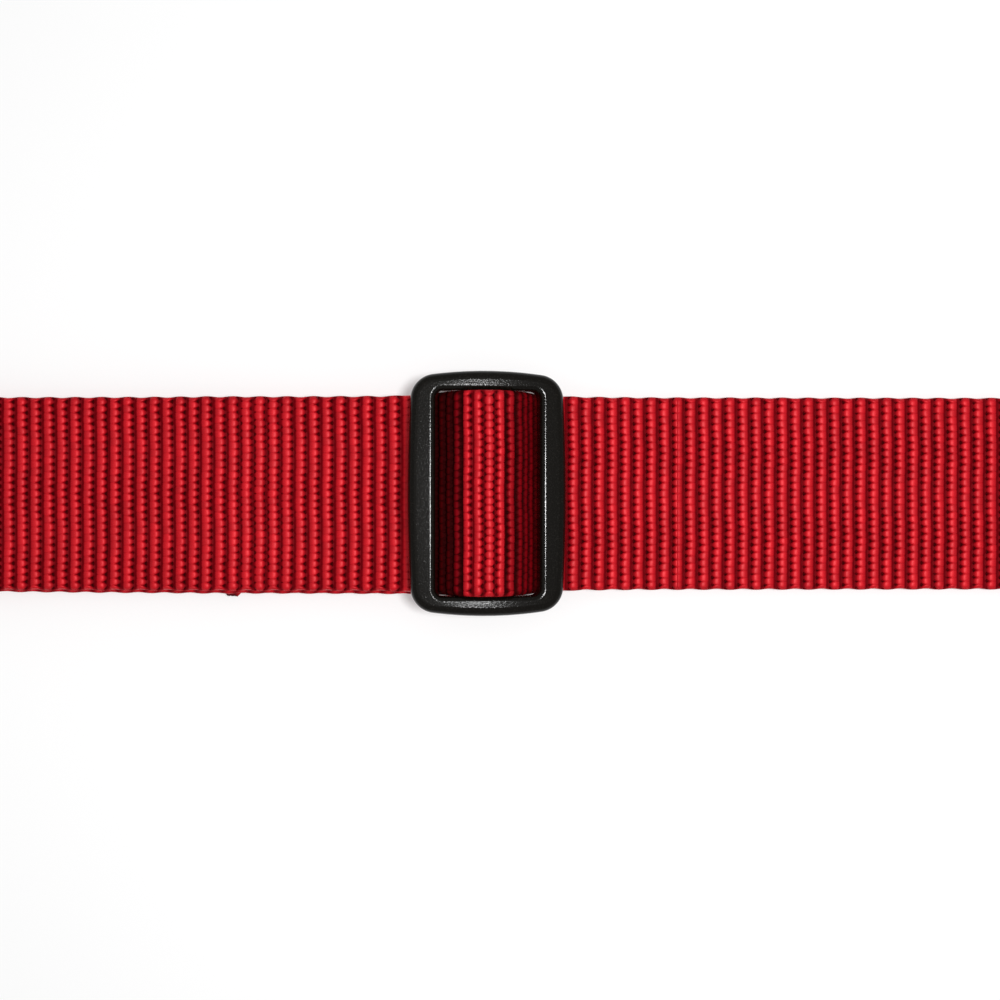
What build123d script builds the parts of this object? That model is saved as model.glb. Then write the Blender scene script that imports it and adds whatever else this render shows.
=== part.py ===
from build123d import *
import os
from math import asin, atan2, cos, degrees, hypot, radians, sin, tan

# A saxophone neck strap, lying flat and doubled on a table. One length of ribbed webbing starts
# as a sewn end loop in a three-bar slider, runs left to a rectangular ring, comes back through
# the slider, runs right to the neck turn, returns along the table to the swivel hook, and is
# sewn at last to the ring's other bar. Millimetres, +X along the strap, +Z up, table at Z = 0.

os.makedirs("parts", exist_ok=True)

# Webbing
webbing_width = 25.0
webbing_thickness = 1.3
layer_gap = 0.05
tail_reach = 34.0
ring_tail_length = 28.0
gentle_bend = 40.0
step_bend = 20.0

# Where the upper run steps over the tail's cut end, measured from that end
step_start_reach = 22.0
step_middle_reach = 9.0
step_middle_rise = 0.45
step_end_reach = 1.2

# Where the webbing rises to the slider and falls from it, measured from the slider's middle
lift_start_reach = 26.0
lift_middle_reach = 16.0
lift_middle_rise = 0.5
slope_middle_reach = 21.0
slope_middle_rise = 0.85
slope_end_reach = 62.0

# Slider
side_bar_width = 3.4
slot_width = 4.6
centre_bar_width = 4.0
centre_bar_height = 2.2
centre_bar_lift = 0.3
end_bar_width = 2.5
window_clearance = 0.4
slider_height = 4.0
slider_crown_radius = 96.0
slider_tilt = 6.4
slider_base = 6.3
side_bow = 0.5
end_bow = 0.85
slider_corner_radius = 3.2
window_corner_radius = 1.0
slider_outer_edge = 1.1
slider_inner_edge = 0.65
underside_edge = 1.0
centre_bar_edge = 0.9
loop_gap = 0.2

# Where the strap's stations lie, measured from the middle of the slider
ring_distance = 100.0
neck_distance = 212.0
eye_distance = 60.0
fixed_turn_reach = 24.0
pass_left_reach = 49.0
pass_right_reach = 25.0

# Ring
ring_wire = 3.2
ring_opening = 10.0
ring_side_clearance = 0.9
ring_corner_radius = 2.4
ring_gap = 0.15
ring_flat = 1.5
ring_turn_bend = 6.0
ring_end_slope_reach = 13.0

# Neck turn
neck_turn_radius = 4.0
neck_turn_reach = 34.0
neck_slope_start = 27.0
neck_slope_end = 9.0
neck_bend = 18.0

# Hook eye and swivel
eye_wire = 3.2
eye_gap = 0.3
eye_side_length = 7.0
eye_depth = 14.0
eye_shoulder_width = 10.0
eye_corner_radius = 2.4
eye_lower_flat = 3.0
eye_lower_slope_reach = 16.0
eye_upper_flat = 2.0
eye_upper_slope_reach = 23.0
hook_split_reach = 28.0
under_split_reach = 26.0
boss_radius = 4.1
boss_length = 7.0
boss_inner_offset = 11.0
table_gap = 0.05
swivel_radius = 2.0
running_clearance = 0.05
swivel_head_radius = 3.2
swivel_head_thickness = 1.4
swivel_end_gap = 0.1
swivel_seat_depth = 5.0
washer_radius = 3.9
washer_thickness = 0.8

# Hook body
hook_thickness = 5.0
hook_neck_radius = 3.75
hook_neck_length = 8.0
throat_radius = 5.5
hook_wall = 4.2
throat_end = 27.0
throat_start = 12.5
base_top = 3.6
shoulder_along = 5.0
shoulder_drop = 4.5
shoulder_end = 12.0
throat_corner_radius = 1.8
base_corner_radius = 1.2
shoulder_corner_radius = 0.8
shoulder_bend = 1.5
back_bend = 6.0
hook_edge = 0.9
tip_end = 23.6
tip_bevel = 0.7
tip_notch = 25.7
tip_notch_height = 7.2

# Gate
gate_pivot_along = 10.5
gate_pivot_side = 7.2
gate_inner_face = 5.9
gate_outer_face = 9.0
gate_clearance = 0.25
gate_knuckle_radius = 2.1
gate_fork_gap = 3.4
gate_fork_depth = 2.9
gate_tongue_top = 7.0
gate_edge = 0.35
thumb_rise = 0.9
thumb_length = 4.0
lug_radius = 2.2
lug_bottom = -1.65
lug_top = 0.05
lug_web_left = 0.9
pin_radius = 1.0
pin_head_radius = 1.5
pin_head_thickness = 0.4
pin_head_gap = 0.1
spring_wire = 0.4
spring_radius = 1.35
spring_pitch = 0.46
spring_height = 0.92
spring_lift = 0.1
spring_leg = 2.2

# Stitching
thread_width = 0.4
thread_proud = 0.03
seam_half_width = 9.5
slider_seam_offsets = (27.5, 29.5, 31.5)
ring_seam_near = 15.0
ring_seam_far = 26.0

# Sizes that follow from the ones above
layer_pitch = webbing_thickness + layer_gap
half_webbing = webbing_thickness / 2
window_width = centre_bar_width + 2 * slot_width
window_length = webbing_width + 2 * window_clearance
slider_width = window_width + 2 * side_bar_width
slider_length = window_length + 2 * end_bar_width
bar_spacing = ring_opening + ring_wire
neck_outer_radius = neck_turn_radius + half_webbing
hook_face_offset = (
    boss_inner_offset + boss_length + washer_thickness + 2 * swivel_end_gap
)
hook_nose = throat_end + throat_radius + hook_wall
left_reach = ring_distance + bar_spacing + eye_distance + hook_face_offset + hook_nose
right_reach = neck_distance + neck_outer_radius

# Stations along X, with the object's middle at X = 0
slider_x = (left_reach - right_reach) / 2
ring_right_x = slider_x - ring_distance
ring_left_x = ring_right_x - bar_spacing
eye_x = ring_left_x - eye_distance
hook_x = eye_x - hook_face_offset
neck_x = slider_x + neck_distance
hook_z = boss_radius + table_gap


def layer(count):
    """Height of the middle of webbing that lies on this many other layers."""
    return half_webbing + count * layer_pitch


def on_slider(along, up):
    """The place in X and Z of a point given along and above the tilted slider's underside."""
    tilt = radians(slider_tilt)
    x = slider_x + along * cos(tilt) + up * sin(tilt)
    z = slider_base - along * sin(tilt) + up * cos(tilt)
    return x, z


def heading(start, end):
    """The angle of the line from one point to the next, in radians."""
    return atan2(end[1] - start[1], end[0] - start[0])


def between(start, end, share):
    """The point that lies this share of the way from start to end."""
    x = start[0] + (end[0] - start[0]) * share
    z = start[1] + (end[1] - start[1]) * share
    return x, z


def layer_below(points, layers):
    """The corners of the path that runs this many layers under another."""
    last = len(points) - 1
    lowered = []
    for index, point in enumerate(points):
        after = heading(points[min(index, last - 1)], points[min(index, last - 1) + 1])
        before = heading(points[max(index, 1) - 1], points[max(index, 1)])
        middle = (before + after) / 2
        reach = layers * layer_pitch / cos((after - before) / 2)
        lowered.append((point[0] + reach * sin(middle), point[1] - reach * cos(middle)))
    return lowered


def webbing_from(*lines):
    """Inside a part: webbing of full width whose middle follows lines drawn in X and Z."""
    with BuildSketch(Plane.XZ) as section:
        trace(lines, line_width=webbing_thickness)
    extrude(section.sketch, amount=webbing_width / 2, both=True)


def finish(piece, name):
    """Labels a finished piece and writes its file."""
    piece.part.label = name
    export_step(piece.part, f"parts/{name}.step")


# The upper run's corners through the slider. The webbing wraps the rounded lower edge of each
# side bar and the end loop on the centre bar, and runs straight between the two.
edge_along = window_width / 2 + underside_edge
edge_bend = underside_edge + loop_gap + half_webbing
bar_along = centre_bar_width / 2 - centre_bar_edge
bar_up = centre_bar_lift + centre_bar_height - centre_bar_edge
loop_bend = centre_bar_edge + loop_gap + half_webbing
arch_bend = loop_bend + layer_pitch
centres_apart = hypot(edge_along - bar_along, bar_up - underside_edge)
flank = asin((edge_bend + arch_bend) / centres_apart) + atan2(
    bar_up - underside_edge, edge_along - bar_along
)
low_along = edge_along - edge_bend * tan(flank / 2)
high_along = bar_along + arch_bend * tan(flank / 2)
low_up = underside_edge - edge_bend
high_up = bar_up + arch_bend
climb_left = on_slider(-low_along, low_up)
crest_left = on_slider(-high_along, high_up)
crest_right = on_slider(high_along, high_up)
climb_right = on_slider(low_along, low_up)

# The upper run lies on the return run and the tail, steps down past the tail's cut end on the
# left, and slopes down to the under run on the right.
tail_end_x = slider_x - tail_reach
step_low = (tail_end_x - step_start_reach, layer(2))
step_half = (tail_end_x - step_middle_reach, layer(2) + step_middle_rise)
step_high = (tail_end_x - step_end_reach, layer(3))
lift_low = (slider_x - lift_start_reach, layer(3))
lift_half = (slider_x - lift_middle_reach, layer(3) + lift_middle_rise)
slope_half = (slider_x + slope_middle_reach, layer(1) + slope_middle_rise)
slope_low = (slider_x + slope_end_reach, layer(1))
left_split_x = slider_x - pass_left_reach
left_split = between(step_low, step_half, (left_split_x - step_low[0]) / (step_half[0] - step_low[0]))
right_split_x = slider_x + pass_right_reach
right_split = between(
    slope_half, slope_low, (right_split_x - slope_half[0]) / (slope_low[0] - slope_half[0])
)
ring_split_x = ring_right_x + fixed_turn_reach
neck_split_x = neck_x - neck_turn_reach
hook_split_x = eye_x + hook_split_reach
under_split_x = eye_x + under_split_reach

pass_corners = [
    left_split,
    step_half,
    step_high,
    lift_low,
    lift_half,
    climb_left,
    crest_left,
    crest_right,
    climb_right,
    slope_half,
    right_split,
]
left_corners = [(ring_split_x, layer(2)), step_low, left_split]
right_corners = [right_split, slope_low, (neck_split_x, layer(1))]
pass_bends = [gentle_bend, step_bend, gentle_bend, gentle_bend]

# Webbing: the pass through the slider, which rides with it
with BuildPart() as slider_pass:
    with BuildLine() as pass_line:
        FilletPolyline(
            *pass_corners,
            radius=pass_bends + [edge_bend, arch_bend, arch_bend, edge_bend, gentle_bend],
        )
    webbing_from(pass_line.line)
finish(slider_pass, "slider_pass")

# Webbing: the sewn end loop round the centre bar, from the return run's end to the cut end
return_corners = layer_below(pass_corners[:7] + [crest_right], 1)[:7]
tail_corners = layer_below([(tail_end_x, layer(3))] + pass_corners[3:7], 2)[:4]
loop_side = centre_bar_width / 2 + loop_gap + half_webbing
loop_top = centre_bar_lift + centre_bar_height + loop_gap + half_webbing
loop_bottom = centre_bar_lift - loop_gap - half_webbing
loop_corners = [
    on_slider(loop_side, loop_top),
    on_slider(loop_side, loop_bottom),
    on_slider(-centre_bar_edge, loop_bottom),
]
tail_rise = tail_corners[3]
with BuildPart() as slider_end_loop:
    with BuildLine() as loop_line:
        FilletPolyline(
            *return_corners,
            *loop_corners,
            tail_rise,
            tail_corners[2],
            tail_corners[1],
            tail_corners[0],
            radius=pass_bends
            + [edge_bend + layer_pitch, loop_bend, loop_bend, loop_bend]
            + [2 * loop_bend, 3 * loop_bend, gentle_bend, gentle_bend],
        )
    webbing_from(loop_line.line)
finish(slider_end_loop, "slider_end_loop")

# Webbing: the two runs between the ring and the slider, one on the other
with BuildPart() as upper_run_left:
    with BuildLine() as upper_left_line:
        FilletPolyline(*left_corners, radius=[gentle_bend])
    webbing_from(upper_left_line.line)
finish(upper_run_left, "upper_run_left")

with BuildPart() as return_run:
    with BuildLine() as return_line:
        FilletPolyline(*layer_below(left_corners, 1), radius=[gentle_bend + layer_pitch])
    webbing_from(return_line.line)
finish(return_run, "return_run")

# Webbing: the run from the slider to the neck turn
with BuildPart() as upper_run_right:
    with BuildLine() as upper_right_line:
        FilletPolyline(*right_corners, radius=[gentle_bend])
    webbing_from(upper_right_line.line)
finish(upper_run_right, "upper_run_right")

# Webbing: the neck turn, a soft teardrop at the right end
neck_top = layer(0) + 2 * neck_turn_radius
with BuildPart() as neck_turn:
    with BuildLine() as neck_line:
        neck_upper = FilletPolyline(
            (neck_split_x, layer(1)),
            (neck_x - neck_slope_start, layer(1)),
            (neck_x - neck_slope_end, neck_top),
            (neck_x, neck_top),
            radius=neck_bend,
        )
        neck_arc = JernArc(neck_upper @ 1, neck_upper % 1, neck_turn_radius, -180)
        Line(neck_arc @ 1, (neck_split_x, layer(0)))
    webbing_from(neck_line.line)
finish(neck_turn, "neck_turn")

# Webbing: the under run along the table, from the neck turn back to the hook
with BuildPart() as under_run:
    with BuildLine() as under_line:
        Line((neck_split_x, layer(0)), (under_split_x, layer(0)))
    webbing_from(under_line.line)
finish(under_run, "under_run")

# Webbing: the turn round the ring's right bar
ring_turn_radius = ring_wire / 2 + ring_gap + half_webbing
ring_z = layer(1) + ring_turn_radius
with BuildPart() as ring_turn:
    with BuildLine() as ring_turn_line:
        ring_lower = Line((ring_split_x, layer(1)), (ring_right_x, layer(1)))
        ring_arc = JernArc(ring_lower @ 1, ring_lower % 1, ring_turn_radius, -180)
        FilletPolyline(
            ring_arc @ 1,
            (ring_right_x + ring_flat, ring_z + ring_turn_radius),
            (ring_split_x - ring_turn_bend, layer(2)),
            (ring_split_x, layer(2)),
            radius=[ring_turn_bend, neck_bend],
        )
    webbing_from(ring_turn_line.line)
finish(ring_turn, "ring_turn")

# Webbing: the sewn end loop round the ring's left bar
with BuildPart() as ring_end_loop:
    with BuildLine() as ring_end_line:
        ring_end_upper = FilletPolyline(
            (hook_split_x, layer(2)),
            (ring_left_x - ring_end_slope_reach, layer(2)),
            (ring_left_x - ring_flat, ring_z + ring_turn_radius),
            (ring_left_x, ring_z + ring_turn_radius),
            radius=[neck_bend, ring_turn_bend],
        )
        ring_end_arc = JernArc(ring_end_upper @ 1, ring_end_upper % 1, ring_turn_radius, -180)
        Line(ring_end_arc @ 1, (ring_left_x - ring_tail_length, layer(1)))
    webbing_from(ring_end_line.line)
finish(ring_end_loop, "ring_end_loop")

# Webbing: the turn round the hook's eye bar
hook_turn_radius = eye_wire / 2 + eye_gap + half_webbing
with BuildPart() as hook_turn:
    with BuildLine() as hook_turn_line:
        hook_lower = FilletPolyline(
            (under_split_x, layer(0)),
            (eye_x + eye_lower_slope_reach, layer(0)),
            (eye_x + eye_lower_flat, hook_z - hook_turn_radius),
            (eye_x, hook_z - hook_turn_radius),
            radius=[gentle_bend, neck_bend],
        )
        hook_arc = JernArc(hook_lower @ 1, hook_lower % 1, hook_turn_radius, -180)
        FilletPolyline(
            hook_arc @ 1,
            (eye_x + eye_upper_flat, hook_z + hook_turn_radius),
            (eye_x + eye_upper_slope_reach, layer(2)),
            (hook_split_x, layer(2)),
            radius=[neck_bend / 2, neck_bend],
        )
    webbing_from(hook_turn_line.line)
finish(hook_turn, "hook_turn")

# Slider: a bowed frame, crowned from side to side, with a lower, rounded centre bar
slider_tilt_turn = radians(slider_tilt)
slider_plane = Plane(
    origin=(slider_x, 0, slider_base),
    x_dir=(cos(slider_tilt_turn), 0, -sin(slider_tilt_turn)),
    z_dir=(sin(slider_tilt_turn), 0, cos(slider_tilt_turn)),
)
slider_side_plane = Plane(
    origin=slider_plane.origin, x_dir=slider_plane.x_dir, z_dir=(0, -1, 0)
)
slider_up = Axis(slider_plane.origin, slider_plane.z_dir)
corner_x = slider_width / 2 - side_bow
corner_y = slider_length / 2 - end_bow
with BuildPart() as slider:
    with BuildSketch(slider_plane):
        with BuildLine():
            ThreePointArc((corner_x, -corner_y), (slider_width / 2, 0), (corner_x, corner_y))
            ThreePointArc((corner_x, corner_y), (0, slider_length / 2), (-corner_x, corner_y))
            ThreePointArc((-corner_x, corner_y), (-slider_width / 2, 0), (-corner_x, -corner_y))
            ThreePointArc((-corner_x, -corner_y), (0, -slider_length / 2), (corner_x, -corner_y))
        make_face()
    extrude(amount=slider_height)
    fillet(slider.edges().filter_by(slider_up), slider_corner_radius)
    with BuildSketch(slider_side_plane):
        with Locations((0, slider_height / 2)):
            Rectangle(2 * slider_width, 3 * slider_height)
        with Locations((0, slider_height - slider_crown_radius)):
            Circle(slider_crown_radius, mode=Mode.SUBTRACT)
    extrude(amount=slider_length, both=True, mode=Mode.SUBTRACT)
    outer_rim = slider.faces().sort_by(slider_up)[-1].edges()
    fillet(outer_rim, slider_outer_edge)
    outer_foot = slider.faces().sort_by(slider_up)[0].edges()
    fillet(outer_foot, slider_inner_edge)
    with BuildSketch(slider_plane):
        RectangleRounded(window_width, window_length, window_corner_radius)
    extrude(amount=slider_height, mode=Mode.SUBTRACT)
    window_rim = slider.faces().sort_by(slider_up)[-1].inner_wires().edges()
    fillet(window_rim, slider_inner_edge)
    window_foot = slider.faces().sort_by(slider_up)[0].inner_wires().edges()
    fillet(window_foot, underside_edge)
    with BuildSketch(slider_side_plane):
        with Locations((0, centre_bar_lift + centre_bar_height / 2)):
            RectangleRounded(centre_bar_width, centre_bar_height, centre_bar_edge)
    extrude(amount=(window_length + end_bar_width) / 2, both=True)
finish(slider, "slider")

# Ring: one rectangle of round wire
ring_half_width = webbing_width / 2 + ring_side_clearance + ring_wire / 2
with BuildPart() as ring:
    with BuildLine(Plane.XY.offset(ring_z)) as ring_line:
        FilletPolyline(
            (ring_right_x, -ring_half_width),
            (ring_right_x, ring_half_width),
            (ring_left_x, ring_half_width),
            (ring_left_x, -ring_half_width),
            radius=ring_corner_radius,
            close=True,
        )
    with BuildSketch(Plane(origin=ring_line.line @ 0, z_dir=ring_line.line % 0)):
        Circle(ring_wire / 2)
    sweep()
finish(ring, "ring")

# Hook eye: a tapered loop of round wire with the swivel's boss on its narrow end
eye_half_width = webbing_width / 2 + ring_side_clearance + eye_wire / 2
boss_centre_x = eye_x - boss_inner_offset - boss_length / 2
with BuildPart() as hook_eye:
    with BuildLine(Plane.XY.offset(hook_z)) as eye_line:
        FilletPolyline(
            (eye_x, -eye_half_width),
            (eye_x, eye_half_width),
            (eye_x - eye_side_length, eye_half_width),
            (eye_x - eye_depth, eye_shoulder_width / 2),
            (eye_x - eye_depth, -eye_shoulder_width / 2),
            (eye_x - eye_side_length, -eye_half_width),
            radius=eye_corner_radius,
            close=True,
        )
    with BuildSketch(Plane(origin=eye_line.line @ 0, z_dir=eye_line.line % 0)):
        Circle(eye_wire / 2)
    sweep()
    with BuildSketch(Plane(origin=(boss_centre_x, 0, hook_z), z_dir=(1, 0, 0))):
        Circle(boss_radius)
    extrude(amount=boss_length / 2, both=True)
    with BuildSketch(Plane(origin=(boss_centre_x, 0, hook_z), z_dir=(1, 0, 0))):
        Circle(swivel_radius + running_clearance)
    extrude(amount=boss_length, both=True, mode=Mode.SUBTRACT)
    boss_rims = (
        hook_eye.edges()
        .filter_by(GeomType.CIRCLE)
        .filter_by(lambda edge: abs(edge.radius - boss_radius) < layer_gap)
    )
    chamfer(boss_rims, layer_gap * 8)
finish(hook_eye, "hook_eye")

# Swivel stem: a headed rivet that turns in the boss and is fast in the hook body
stem_head_x = eye_x - boss_inner_offset + swivel_end_gap
with BuildPart() as swivel_stem:
    with BuildSketch(Plane(origin=(stem_head_x, 0, hook_z), z_dir=(1, 0, 0))):
        Circle(swivel_head_radius)
    extrude(amount=swivel_head_thickness)
    fillet(swivel_stem.edges().sort_by(Axis.X)[-1], swivel_head_thickness / 2)
    with BuildSketch(Plane(origin=(stem_head_x, 0, hook_z), z_dir=(-1, 0, 0))):
        Circle(swivel_radius)
    extrude(amount=stem_head_x - hook_x + swivel_seat_depth)
finish(swivel_stem, "swivel_stem")

# Swivel washer
with BuildPart() as swivel_washer:
    with BuildSketch(Plane(origin=(hook_x + swivel_end_gap, 0, hook_z), z_dir=(1, 0, 0))):
        Circle(washer_radius)
        Circle(swivel_radius + 2 * running_clearance, mode=Mode.SUBTRACT)
    extrude(amount=washer_thickness)
finish(swivel_washer, "swivel_washer")

# Hook body: a round neck that widens into a flat J, with a lug for the gate's pin
hook_plane = Plane(origin=(hook_x, 0, hook_z))
outer_radius = throat_radius + hook_wall
with BuildPart() as hook_body:
    with BuildSketch(hook_plane.offset(-hook_thickness / 2)):
        with BuildLine():
            Polyline(
                (-throat_end, outer_radius),
                (-tip_end - tip_bevel, outer_radius),
                (-tip_end, outer_radius - tip_bevel),
                (-tip_end, tip_notch_height),
                (-tip_notch, tip_notch_height),
                (-tip_notch, throat_radius),
                (-throat_end, throat_radius),
            )
            ThreePointArc(
                (-throat_end, throat_radius),
                (-throat_end - throat_radius, 0),
                (-throat_end, -throat_radius),
            )
            FilletPolyline(
                (-throat_end, -throat_radius),
                (-throat_start, -throat_radius),
                (-throat_start, base_top),
                (-shoulder_along, base_top),
                (-shoulder_along, -shoulder_drop),
                (-shoulder_end, -outer_radius),
                (-throat_end, -outer_radius),
                radius=[
                    throat_corner_radius,
                    base_corner_radius,
                    shoulder_corner_radius,
                    shoulder_bend,
                    back_bend,
                ],
            )
            ThreePointArc(
                (-throat_end, -outer_radius),
                (-throat_end - outer_radius, 0),
                (-throat_end, outer_radius),
            )
        make_face()
    extrude(amount=hook_thickness)
    flat_faces = hook_body.faces().filter_by(Axis.Z).sort_by(Axis.Z)
    fillet(flat_faces[0].edges() + flat_faces[-1].edges(), hook_edge)
    with BuildSketch(hook_plane.offset(lug_bottom)):
        with Locations((-gate_pivot_along, gate_pivot_side)):
            Circle(lug_radius)
        with BuildLine():
            Polyline(
                (-gate_pivot_along - lug_web_left, gate_pivot_side),
                (-gate_pivot_along + lug_radius, gate_pivot_side),
                (-gate_pivot_along + lug_radius, 0),
                (-gate_pivot_along - lug_web_left, 0),
                close=True,
            )
        make_face()
    extrude(amount=lug_top - lug_bottom)
    with BuildSketch(Plane(origin=(hook_x, 0, hook_z), z_dir=(-1, 0, 0))):
        Circle(hook_neck_radius)
    extrude(amount=hook_neck_length)
    neck_rim = hook_body.edges().filter_by(GeomType.CIRCLE).sort_by(Axis.X)[-1]
    chamfer(neck_rim, hook_edge / 2)
    with BuildSketch(Plane(origin=(hook_x, 0, hook_z), z_dir=(-1, 0, 0))):
        Circle(swivel_radius)
    extrude(amount=swivel_seat_depth, mode=Mode.SUBTRACT)
    with BuildSketch(hook_plane):
        with Locations((-gate_pivot_along, gate_pivot_side)):
            Circle(pin_radius)
    extrude(amount=hook_thickness, both=True, mode=Mode.SUBTRACT)
finish(hook_body, "hook_body")

# Gate: a forked bar whose tongue closes behind the hook's tip
gate_end = tip_end - gate_clearance
with BuildPart() as gate:
    with BuildSketch(hook_plane.offset(-hook_thickness / 2)):
        with Locations((-gate_pivot_along, gate_pivot_side)):
            Circle(gate_knuckle_radius)
        with BuildLine():
            Polyline(
                (-gate_pivot_along, gate_inner_face),
                (-tip_notch + gate_clearance, gate_inner_face),
                (-tip_notch + gate_clearance, gate_tongue_top),
                (-gate_end, gate_tongue_top),
                (-gate_end, gate_outer_face),
                (-gate_end + 1.0, gate_outer_face),
                (-gate_end + 1.0 + thumb_length / 4, gate_outer_face + thumb_rise),
                (-gate_end + 1.0 + thumb_length * 3 / 4, gate_outer_face + thumb_rise),
                (-gate_end + 1.0 + thumb_length, gate_outer_face),
                (-gate_pivot_along, gate_outer_face),
                close=True,
            )
        make_face()
    extrude(amount=hook_thickness)
    with BuildSketch(hook_plane.offset(-gate_fork_gap / 2)):
        with Locations((-gate_pivot_along, gate_pivot_side)):
            Rectangle(2 * gate_fork_depth, 3 * gate_knuckle_radius)
    extrude(amount=gate_fork_gap, mode=Mode.SUBTRACT)
    gate_faces = gate.faces().filter_by(Axis.Z).sort_by(Axis.Z)
    chamfer(gate_faces[0].edges() + gate_faces[-1].edges(), gate_edge)
    with BuildSketch(hook_plane):
        with Locations((-gate_pivot_along, gate_pivot_side)):
            Circle(pin_radius + running_clearance)
    extrude(amount=hook_thickness, both=True, mode=Mode.SUBTRACT)
finish(gate, "gate")

# Gate pin: a rivet with a low head outside each ear of the gate
pin_head_z = hook_thickness / 2 + pin_head_gap
with BuildPart() as gate_pin:
    with BuildSketch(hook_plane):
        with Locations((-gate_pivot_along, gate_pivot_side)):
            Circle(pin_radius)
    extrude(amount=pin_head_z + pin_head_thickness / 2, both=True)
    for head_z in (pin_head_z, -pin_head_z - pin_head_thickness):
        with BuildSketch(hook_plane.offset(head_z)):
            with Locations((-gate_pivot_along, gate_pivot_side)):
                Circle(pin_head_radius)
        extrude(amount=pin_head_thickness)
    fillet(gate_pin.edges().sort_by(Axis.Z)[-1], pin_head_thickness / 2)
    fillet(gate_pin.edges().sort_by(Axis.Z)[0], pin_head_thickness / 2)
finish(gate_pin, "gate_pin")

# Gate spring: a short torsion coil round the pin, above the lug
spring_base = hook_z + lug_top + spring_lift + spring_wire / 2
with BuildPart() as gate_spring:
    with BuildLine() as spring_line:
        Helix(
            pitch=spring_pitch,
            height=spring_height,
            radius=spring_radius,
            center=(hook_x - gate_pivot_along, gate_pivot_side, spring_base),
        )
    with BuildSketch(Plane(origin=spring_line.line @ 0, z_dir=spring_line.line % 0)):
        Circle(spring_wire / 2)
    sweep(is_frenet=True)
    with BuildSketch(Plane(origin=spring_line.line @ 1, z_dir=spring_line.line % 1)):
        Circle(spring_wire / 2)
    extrude(amount=spring_leg)
finish(gate_spring, "gate_spring")

# Seam: rows of stitching that close the end loop beside the slider
seam_heights = (3 * layer_pitch - layer_gap + thread_proud - thread_width, layer_pitch - thread_proud)
with BuildPart() as slider_seam:
    for seam_z in seam_heights:
        with BuildSketch(Plane.XY.offset(seam_z)):
            with Locations(*((slider_x - offset_x, 0) for offset_x in slider_seam_offsets)):
                Rectangle(thread_width, 2 * seam_half_width)
        extrude(amount=thread_width)
finish(slider_seam, "slider_seam")

# Seam: a box with a cross that closes the end loop beside the ring
seam_middle_x = ring_left_x - (ring_seam_near + ring_seam_far) / 2
seam_length = ring_seam_far - ring_seam_near
cross_angle = degrees(atan2(2 * seam_half_width, seam_length))
with BuildPart() as ring_seam:
    for seam_z in seam_heights:
        with BuildSketch(Plane(origin=(seam_middle_x, 0, seam_z))):
            Rectangle(seam_length + thread_width, 2 * seam_half_width + thread_width)
            Rectangle(seam_length - thread_width, 2 * seam_half_width - thread_width, mode=Mode.SUBTRACT)
            for turn in (cross_angle, -cross_angle):
                with Locations(Location((0, 0, 0), turn)):
                    Rectangle(hypot(seam_length, 2 * seam_half_width), thread_width)
        extrude(amount=thread_width)
finish(ring_seam, "ring_seam")

print("flank slope", round(degrees(flank), 1))
print("slider middle X", round(slider_x, 3), "neck X", round(neck_x, 3))
print("ring bars X", round(ring_right_x, 3), round(ring_left_x, 3), "Z", round(ring_z, 3))
print("eye X", round(eye_x, 3), "hook face X", round(hook_x, 3), "Z", round(hook_z, 3))
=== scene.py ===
from math import asin, atan2, cos, degrees, hypot, pi, radians, sin, tan

import bpy
import numpy as np
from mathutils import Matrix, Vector


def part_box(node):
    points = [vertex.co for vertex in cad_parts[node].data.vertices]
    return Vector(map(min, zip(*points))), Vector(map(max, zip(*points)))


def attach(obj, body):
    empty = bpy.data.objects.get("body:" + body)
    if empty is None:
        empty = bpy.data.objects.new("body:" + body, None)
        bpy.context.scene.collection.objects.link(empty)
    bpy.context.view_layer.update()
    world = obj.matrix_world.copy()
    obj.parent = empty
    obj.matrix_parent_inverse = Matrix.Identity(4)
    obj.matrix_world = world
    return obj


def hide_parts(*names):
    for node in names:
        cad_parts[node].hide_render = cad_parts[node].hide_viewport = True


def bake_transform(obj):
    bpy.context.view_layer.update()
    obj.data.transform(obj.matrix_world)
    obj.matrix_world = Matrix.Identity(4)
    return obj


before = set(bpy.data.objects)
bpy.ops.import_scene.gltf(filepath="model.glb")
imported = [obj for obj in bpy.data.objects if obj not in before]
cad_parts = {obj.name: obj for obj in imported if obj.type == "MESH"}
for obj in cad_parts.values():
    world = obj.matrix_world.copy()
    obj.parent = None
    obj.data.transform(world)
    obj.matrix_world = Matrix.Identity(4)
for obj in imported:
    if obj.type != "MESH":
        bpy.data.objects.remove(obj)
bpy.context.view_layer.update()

bl_info = {
    "name": "Saxophone Neck Strap",
    "version": (1, 0, 0),
    "blender": (4, 5, 0),
    "location": "3D View > Sidebar > Neck Strap",
    "description": "Builds a red webbing neck strap with its slider, ring and snap hook",
    "category": "Add Mesh",
}

MM = 0.001


def mm(*values):
    return [value * MM for value in values]


# Settings


def length(name, description, default):
    return bpy.props.FloatProperty(
        name=name, description=description, default=default, unit="LENGTH", subtype="DISTANCE", precision=5
    )


def share(name, description, default):
    return bpy.props.FloatProperty(name=name, description=description, default=default, min=0.0, max=1.0)


def number(name, description, default):
    return bpy.props.FloatProperty(name=name, description=description, default=default)


def colour(name, description, default):
    return bpy.props.FloatVectorProperty(
        name=name, description=description, default=default, size=3, min=0.0, max=1.0, subtype="COLOR"
    )


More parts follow.
